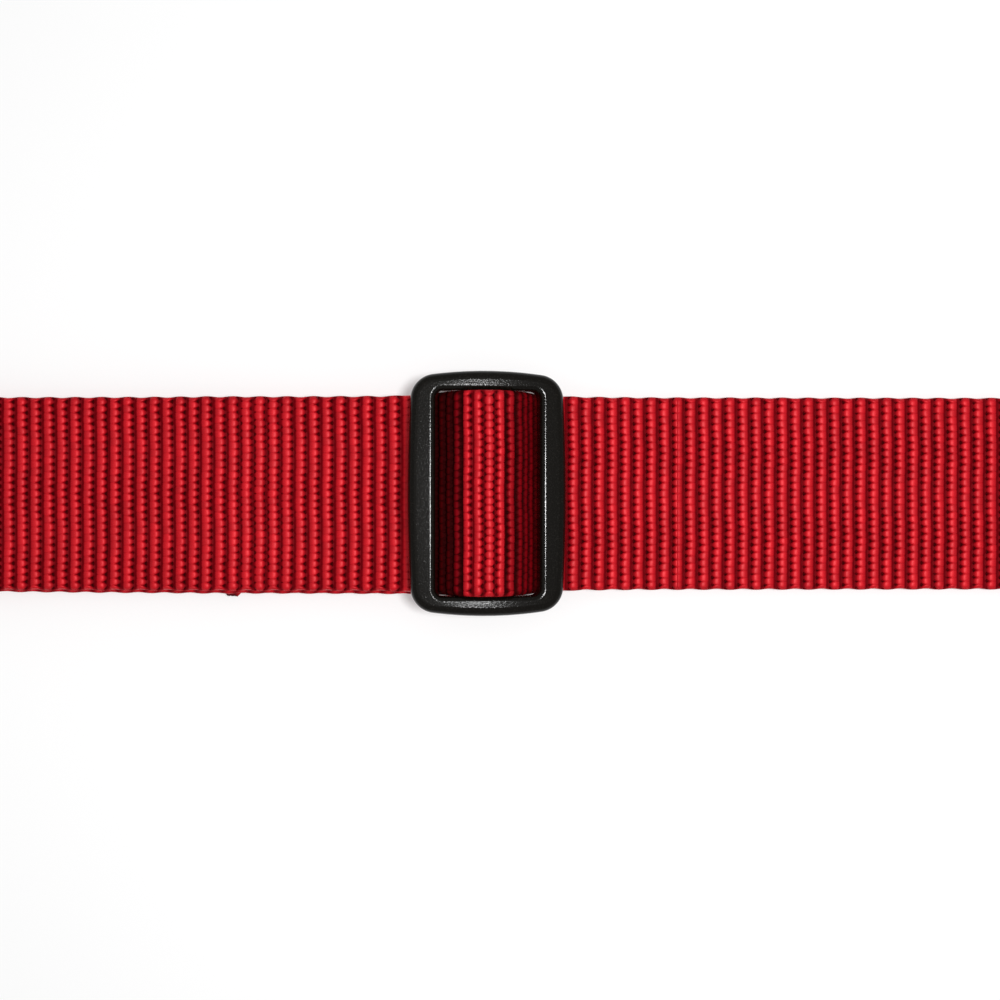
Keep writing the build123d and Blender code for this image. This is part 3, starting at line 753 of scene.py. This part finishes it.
def seal_end(webbing, gone, out, up, deep, across):
    """Melts the webbing near its cut end: gone is how far each row lies from it."""
    edge = webbing.yarns / 2
    seal = np.clip(1.15 - gone / SEALED_REACH, 0, 1) * np.ones_like(out)
    lumps = 0.5 + 0.5 * np.sin(across * 2.3 + 1.0) * np.sin(across * 0.9 + 2.0)
    ragged = scatter(np.round(across * 4), np.round(gone / RAGGED_STEP), 9)
    keep = 1 - seal
    rounding = np.sqrt(np.clip(gone / ROUNDED_REACH, 0.12, 1))
    body = np.sign(up) * webbing.thickness * (0.40 + 0.08 * lumps + 0.03 * ragged) * rounding
    up = up * keep + np.where(np.abs(across) > edge - 0.05, 0, body) * seal
    corner = np.clip(np.abs(across) - edge + 0.8, 0, 0.8) / 0.8
    bead = corner * np.sqrt(np.clip(1 - ((gone - BEAD_MIDDLE) / BEAD_HALF) ** 2, 0, 1))
    out = out + np.sign(across) * bead * np.where(across < 0, 0.6, 0.25) * MM * (1 + 0.25 * ragged)
    up = up + bead * 0.12 * MM * ragged
    # On the melted end the painted shade by depth gives way to an even amount
    deep = deep * keep + seal * 0.3
    seal = np.maximum(seal, bead)
    return out, up, deep, seal


def strip_object(name, places, flat, values):
    """A closed tube of webbing from its rows of places, with its UV places and its values there."""
    rows, columns = places.shape[:2]
    index = np.arange(rows * columns).reshape(rows, columns)
    nearer = np.roll(index, -1, axis=1)
    quads = np.stack((index[:-1], index[1:], nearer[1:], nearer[:-1]), axis=2).reshape(-1, 4)
    loops = np.concatenate((quads.ravel(), index[0], index[-1][::-1]))
    starts = np.concatenate((np.arange(len(quads)) * 4, [len(quads) * 4, len(quads) * 4 + columns]))
    mesh = bpy.data.meshes.new(name)
    mesh.vertices.add(rows * columns)
    mesh.vertices.foreach_set("co", places.astype(np.float32).ravel())
    mesh.loops.add(len(loops))
    mesh.loops.foreach_set("vertex_index", loops.astype(np.int32))
    mesh.polygons.add(len(starts))
    mesh.polygons.foreach_set("loop_start", starts.astype(np.int32))
    smooth = np.ones(len(starts), bool)
    smooth[-2:] = False
    mesh.polygons.foreach_set("use_smooth", smooth)
    for label, value in values.items():
        attribute = mesh.attributes.new(label, "FLOAT", "POINT")
        attribute.data.foreach_set("value", value.astype(np.float32).ravel())
    layer = mesh.uv_layers.new(name="Weave")
    layer.data.foreach_set("uv", flat.reshape(-1, 2)[loops].astype(np.float32).ravel())
    mesh.update(calc_edges=True)
    mesh.validate()
    piece = bpy.data.objects.new(name, mesh)
    bpy.context.scene.collection.objects.link(piece)
    mesh.materials.append(bpy.data.materials["red_webbing"])
    return piece


def weave_webbing(name, line, webbing, start, end, left="fine", right="coarse", sealed=None, shift=None):
    """Weaves a closed strip of webbing between two places on the line."""
    first, last = line.rib_at(start), line.rib_at(end)
    fine = "fine" in (left, right)
    ribs = rib_rows(first, last, fine, sealed)
    along, x, z, turn = line.at_ribs(ribs)
    # Painted shade on the arch's steep sides: full on the left side and a share of it on the right
    steep = step(np.abs(turn), STEEP_FROM, STEEP_TO) * np.where(turn > 0, 1.0, RIGHT_STEEP)
    steep = steep * (np.abs(ribs) < STEEP_RIBS)
    edge = webbing.yarns / 2
    pair = webbing.width / webbing.yarns
    gaps = yarn_gaps(line, ribs, fine)
    rings = []
    for side, detail in ((1, left), (-1, right)):
        numbers = ribs if side > 0 else ribs + 1
        across = face_places(numbers, edge, detail, gaps)
        sway = 0.025 * np.sin(across * 0.55 + 1.7) + 0.015 * np.sin(across * 1.7 + ribs[:, None] * 0.9)
        wide_gaps = gaps[0][:, None], gaps[1][:, None]
        height, deep, tone = face_height(webbing, numbers[:, None] + sway, across, wide_gaps, side * 3)
        beyond = np.clip((np.abs(across) - edge + RIM_PAIRS) / RIM_PAIRS, 0, 1)
        rim = np.sqrt(np.clip(1 - beyond**2, 0, 1))
        up = side * (webbing.thickness / 2 + height) * rim
        outer = np.clip(np.abs(across) - edge + BULGE_PAIRS, 0, BULGE_PAIRS) / BULGE_PAIRS
        outer = np.sign(across) * outer
        on_arch = np.clip(2.6 - np.abs(ribs) / 3.5, 0, 1)[:, None]
        bulge = np.cos(pi * ribs)[:, None] * 0.07 * MM
        out = across * pair + outer * (on_arch * webbing.arch_flare - (1 - on_arch) * bulge)
        # Painted shade: the shade by depth is eased on the rounded rim, and more painted shade is added on
        # the selvedge's weft loops beside every other rib
        loops = 0.5 - 0.5 * np.cos(pi * ribs)[:, None]
        deep = deep * (0.4 + 0.6 * rim) + step(np.abs(across), edge - 0.7, edge - 0.4) * loops * 0.16
        deep = np.clip(deep + webbing.steep_shade * steep[:, None], 0, 1)
        rings.append([out, up, deep, tone, across])
    upper, lower = rings
    joined = [np.concatenate((a, b[:, -2:0:-1]), axis=1) for a, b in zip(upper, lower)]
    out, up, deep, tone, across = joined
    seal = np.zeros_like(out)
    if sealed:
        gone = (ribs - first if sealed == "start" else last - ribs)[:, None] * webbing.rib_pitch
        out, up, deep, seal = seal_end(webbing, gone, out, up, deep, across)
    if shift is not None:
        out = out + shift(along)[:, None]
    normal_x, normal_z = -np.sin(turn)[:, None], np.cos(turn)[:, None]
    places = np.stack((x[:, None] + up * normal_x, out, z[:, None] + up * normal_z), axis=2)
    flat = np.stack((np.broadcast_to(along[:, None], out.shape), out), axis=2) * 10
    # The first value stored is the amount of painted shade at each place
    return strip_object(name, places, flat, {"hollow": deep, "tone": tone, "sealed": seal})


def deselect():
    bpy.ops.object.select_all(action="DESELECT")


class StrapOperator:
    """What each piece's operator has in common."""

    bl_options = {"REGISTER", "UNDO"}

    def execute(self, context):
        scene = context.scene
        self.webbing, self.hardware, self.stage = scene.strap_webbing, scene.strap_hardware, scene.strap_stage
        self.line = StrapLine(self.webbing)
        self.build()
        return {"FINISHED"}

    def weave(self, name, start, end, *sides, **ends):
        """Weaves the webbing between two marks on the strap's line."""
        marks = self.line.marks
        return weave_webbing(name, self.line, self.webbing, marks[start], marks[end], *sides, **ends)

    def slip(self, along):
        """How far the layers have slipped sideways: to the front by the slider, not at all by the ring."""
        begin, finish = self.line.marks["return_start"], self.line.marks["return_end"]
        back = step(along, begin - SLIP_BEFORE, finish + SLIP_AFTER)
        return -self.webbing.lower_shift * (1 - back)


class STRAP_OT_materials(StrapOperator, bpy.types.Operator):
    """Makes the webbing, thread, plastic and metal finishes."""

    bl_idname = "strap.materials"
    bl_label = "Finishes"

    def build(self):
        webbing_material(self.webbing)
        thread_material(self.hardware)
        plastic_material(self.hardware)
        metal_material("ring_nickel", self.hardware.nickel, 0.12)
        metal_material("hook_nickel", self.hardware.nickel, 0.18)
        metal_material("spring_wire", self.hardware.steel, 0.16)


class STRAP_OT_left_runs(StrapOperator, bpy.types.Operator):
    """Weaves the two runs between the ring and the slider."""

    bl_idname = "strap.left_runs"
    bl_label = "Left Runs"

    def build(self):
        upper = self.weave("webbing_upper_left", "left_start", "pass_start")
        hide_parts("upper_run_left")
        lower = self.weave("webbing_return", "return_start", "return_end", "plain", "plain", shift=self.slip)
        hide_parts("return_run")
        for piece in (upper, lower):
            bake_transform(piece)


class STRAP_OT_slider_webbing(StrapOperator, bpy.types.Operator):
    """Weaves the pass through the slider and the sewn end loop on its centre bar."""

    bl_idname = "strap.slider_webbing"
    bl_label = "Webbing in the Slider"

    def build(self):
        over = self.weave("webbing_pass", "pass_start", "pass_end")
        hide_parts("slider_pass")
        loop = self.weave(
            "webbing_end_loop", "tail", "return_start", "plain", "plain", sealed="start", shift=self.slip
        )
        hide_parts("slider_end_loop")
        for piece in (over, loop):
            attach(piece, "slider")


class STRAP_OT_right_run(StrapOperator, bpy.types.Operator):
    """Weaves the run from the slider to the neck turn."""

    bl_idname = "strap.right_run"
    bl_label = "Right Run"

    def build(self):
        near = self.weave("webbing_right_near", "pass_end", "right_far")
        middle = self.weave("webbing_right_middle", "right_far", "slack", "plain", "coarse")
        far = self.weave("webbing_right_far", "slack", "neck_start", "plain", "coarse")
        for piece in (near, middle):
            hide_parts("upper_run_right")
            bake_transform(piece)
        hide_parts("upper_run_right")
        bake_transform(far)


class STRAP_OT_neck_turn(StrapOperator, bpy.types.Operator):
    """Weaves the turn that lies on the player's neck."""

    bl_idname = "strap.neck_turn"
    bl_label = "Neck Turn"

    def build(self):
        turn = self.weave("webbing_neck_turn", "neck_start", "neck_end", "plain", "plain")
        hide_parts("neck_turn")
        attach(turn, "neck")


class STRAP_OT_under_run(StrapOperator, bpy.types.Operator):
    """Weaves the long run that lies on the table."""

    bl_idname = "strap.under_run"
    bl_label = "Under Run"

    def build(self):
        run = self.weave("webbing_under", "neck_end", "under_end", "hidden", "plain")
        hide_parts("under_run")
        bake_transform(run)


class STRAP_OT_ring_and_hook_turns(StrapOperator, bpy.types.Operator):
    """Weaves the turns round the ring's two bars and the hook's eye bar."""

    bl_idname = "strap.ring_and_hook_turns"
    bl_label = "Ring and Hook Turns"

    def build(self):
        turn = self.weave("webbing_ring_turn", "return_end", "left_start", "plain", "plain", shift=self.slip)
        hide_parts("ring_turn")
        eye = self.weave("webbing_hook_turn", "under_end", "hook_end", "plain", "plain")
        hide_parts("hook_turn")
        loop = self.weave("webbing_ring_end", "hook_end", "ring_tail", "plain", "plain", sealed="end")
        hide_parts("ring_end_loop")
        for piece in (turn, eye, loop):
            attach(piece, "root")


# The seams: rows left of the slider's middle, and a crossed box left of the ring's left bar
SLIDER_SEAM_OFFSETS = mm(27.5, 29.5, 31.5)
RING_SEAM_FAR, RING_SEAM_NEAR = mm(26, 15)
SEAM_HALF_WIDTH, UNDERSIDE_LIFT = mm(9.5, 0.13)
# Where a stitch is cut across to shape it, in stitches from its middle
STITCH_CUTS = -0.32, -0.12, 0.12, 0.32


def one_stitch(hardware):
    """One stitch: a short thread that bows up out of the webbing and dips at both ends."""
    deselect()
    radius = hardware.thread_radius
    lying = (0, pi / 2, 0)
    bpy.ops.mesh.primitive_cylinder_add(vertices=8, radius=radius, depth=hardware.stitch, rotation=lying)
    stitch = bpy.context.object
    bpy.ops.object.transform_apply(location=True, rotation=True, scale=True)
    bpy.ops.object.mode_set(mode="EDIT")
    for cut in STITCH_CUTS:
        bpy.ops.mesh.select_all(action="SELECT")
        bpy.ops.mesh.bisect(plane_co=(hardware.stitch * cut, 0, 0), plane_no=(1, 0, 0))
    bpy.ops.object.mode_set(mode="OBJECT")
    for vertex in stitch.data.vertices:
        part = abs(vertex.co.x) / (hardware.stitch / 2)
        vertex.co.z = vertex.co.z * 0.7 - radius * 1.6 * part**4
        vertex.co.y *= 1 - 0.35 * part**3
    bpy.ops.object.shade_smooth()
    stitch.data.materials.append(bpy.data.materials["red_thread"])
    return stitch


def sew(name, stitch, hardware, rows):
    """Copies the stitch along rows of (start, end, height, face up) and joins the copies."""
    deselect()
    copies = []
    for start, end, height, up in rows:
        run = Vector(end) - Vector(start)
        count = max(1, round(run.length / (hardware.stitch * 1.04)))
        for index in range(count):
            copy = stitch.copy()
            copy.data = stitch.data.copy()
            bpy.context.scene.collection.objects.link(copy)
            place = Vector(start) + run * ((index + 0.5) / count)
            copy.location = (place.x, place.y, height)
            copy.rotation_euler = (0 if up else pi, 0, atan2(run.y, run.x))
            copy.select_set(True)
            copies.append(copy)
    bpy.context.view_layer.objects.active = copies[0]
    bpy.ops.object.join()
    seam = bpy.context.object
    seam.name = name
    bpy.ops.object.transform_apply(location=True, rotation=True, scale=True)
    return seam


class STRAP_OT_seams(StrapOperator, bpy.types.Operator):
    """Sews the rows beside the slider and the crossed box beside the ring."""

    bl_idname = "strap.seams"
    bl_label = "Stitched Seams"

    def build(self):
        line = self.line
        stitch = one_stitch(self.hardware)
        proud = self.hardware.thread_radius * 0.15
        upper, lower = 3 * line.pitch - self.webbing.layer_gap - proud, line.pitch + UNDERSIDE_LIFT
        slider_x, half = line.fixed["slider"], SEAM_HALF_WIDTH
        front = -self.webbing.lower_shift
        rows = []
        for offset in SLIDER_SEAM_OFFSETS:
            for height, up in ((upper, True), (lower, False)):
                x = slider_x - offset
                rows.append(((x, front - half, 0), (x, front + half, 0), height, up))
        seam = sew("stitches_slider", stitch, self.hardware, rows)
        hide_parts("slider_seam")
        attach(seam, "slider")
        far, near = line.fixed["ring_left"] - RING_SEAM_FAR, line.fixed["ring_left"] - RING_SEAM_NEAR
        corners = [(far, -half, 0), (near, -half, 0), (near, half, 0), (far, half, 0)]
        pairs = list(zip(corners, corners[1:] + corners[:1])) + list(zip(corners[:2], corners[2:]))
        rows = [(a, b, height, up) for height, up in ((upper, True), (lower, False)) for a, b in pairs]
        seam = sew("stitches_ring", stitch, self.hardware, rows)
        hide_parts("ring_seam")
        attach(seam, "root")
        bpy.data.objects.remove(stitch)


class STRAP_OT_hardware(StrapOperator, bpy.types.Operator):
    """Finishes the slider, the ring and the snap hook."""

    bl_idname = "strap.hardware"
    bl_label = "Slider, Ring and Hook"

    def build(self):
        finish_nodes("black_plastic", "slider")
        finish_nodes("ring_nickel", "ring")
        hook = "hook_eye", "swivel_stem", "swivel_washer", "hook_body", "gate", "gate_pin"
        finish_nodes("hook_nickel", *hook)
        finish_nodes("spring_wire", "gate_spring")


# The floor's width and how far it lies under the strap, the height that the camera's distance is
# counted from, its sensor's width in millimetres, and where the lights hang and point
FLOOR_SIZE = 6
FLOOR_DROP, STRAP_TOP = mm(0.05, 3)
SENSOR_WIDTH = 36
BROAD_PLACE, LIT_PLACE = (-0.1, 0.1), Vector((8 * MM, 0, 0))


class STRAP_OT_stage(StrapOperator, bpy.types.Operator):
    """Lays the floor, hangs the lights and sets the camera above the strap."""

    bl_idname = "strap.stage"
    bl_label = "Floor, Light and Camera"

    def build(self):
        stage, scene = self.stage, bpy.context.scene
        deselect()
        bpy.ops.mesh.primitive_plane_add(size=FLOOR_SIZE, location=(0, 0, -FLOOR_DROP))
        floor = bpy.context.object
        floor.name = "floor"
        fixed = {"Roughness": 0.9, "Specular IOR Level": 0.1, "Emission Strength": stage.glow}
        material, tree, shader = new_material("floor_white", fixed)
        cloud = noise(tree, placed(tree, "Object"), 3.0)
        feed(
            shader,
            base_color=cloud.mixed(stage.floor, [c * 0.995 for c in stage.floor]),
            emission_color=cloud.mixed((1.0, 1.0, 1.0), (0.99, 0.99, 0.99)),
        )
        floor.data.materials.append(material)
        world = bpy.data.worlds.new("studio")
        world.use_nodes = True
        sky = world.node_tree.nodes["Background"]
        sky.inputs["Color"].default_value = (1, 1, 1, 1)
        sky.inputs["Strength"].default_value = stage.ambient
        scene.world = world
        self.soft_light("key", stage.key, stage.key_size, (stage.key_reach, 0.0, stage.key_height))
        self.soft_light("broad", stage.fill, stage.fill_size, (*BROAD_PLACE, stage.fill_height))
        above = (stage.aim_x, stage.aim_y, STRAP_TOP + stage.distance)
        bpy.ops.object.camera_add(location=above, rotation=(0, 0, 0))
        camera = bpy.context.object
        camera.name = "camera"
        camera.data.sensor_width = SENSOR_WIDTH
        camera.data.lens = SENSOR_WIDTH * stage.distance / stage.view_width
        camera.data.clip_start, camera.data.clip_end = 0.01, 50
        scene.camera = camera
        scene.view_settings.view_transform = "Standard"

    def soft_light(self, name, power, size, place):
        bpy.ops.object.light_add(type="AREA", location=place)
        light = bpy.context.object
        light.name = name
        light.data.shape = "DISK"
        light.data.size = size
        light.data.energy = power
        light.rotation_euler = (LIT_PLACE - Vector(place)).to_track_quat("-Z", "Y").to_euler()


PIECES = (
    STRAP_OT_materials,
    STRAP_OT_left_runs,
    STRAP_OT_slider_webbing,
    STRAP_OT_right_run,
    STRAP_OT_neck_turn,
    STRAP_OT_under_run,
    STRAP_OT_ring_and_hook_turns,
    STRAP_OT_seams,
    STRAP_OT_hardware,
    STRAP_OT_stage,
)


class STRAP_PT_panel(bpy.types.Panel):
    """Lists the strap's settings and pieces."""

    bl_idname = "STRAP_PT_panel"
    bl_label = "Neck Strap"
    bl_space_type = "VIEW_3D"
    bl_region_type = "UI"
    bl_category = "Neck Strap"

    def draw(self, context):
        for group in ("strap_webbing", "strap_hardware", "strap_stage"):
            settings = getattr(context.scene, group)
            box = self.layout.box()
            for name in settings.__annotations__:
                box.prop(settings, name)
        for piece in PIECES:
            self.layout.operator(piece.bl_idname)


SETTINGS = (
    ("strap_webbing", WebbingSettings),
    ("strap_hardware", HardwareSettings),
    ("strap_stage", StageSettings),
)


def register():
    for name, group in SETTINGS:
        bpy.utils.register_class(group)
        setattr(bpy.types.Scene, name, bpy.props.PointerProperty(type=group))
    for piece in PIECES + (STRAP_PT_panel,):
        bpy.utils.register_class(piece)


def unregister():
    for piece in (STRAP_PT_panel,) + PIECES[::-1]:
        bpy.utils.unregister_class(piece)
    for name, group in SETTINGS[::-1]:
        delattr(bpy.types.Scene, name)
        bpy.utils.unregister_class(group)


def main():
    register()
    bpy.ops.strap.materials()
    bpy.ops.strap.left_runs()
    bpy.ops.strap.slider_webbing()
    bpy.ops.strap.right_run()
    bpy.ops.strap.neck_turn()
    bpy.ops.strap.under_run()
    bpy.ops.strap.ring_and_hook_turns()
    bpy.ops.strap.seams()
    bpy.ops.strap.hardware()
    bpy.ops.strap.stage()


if __name__ == "__main__":
    main()
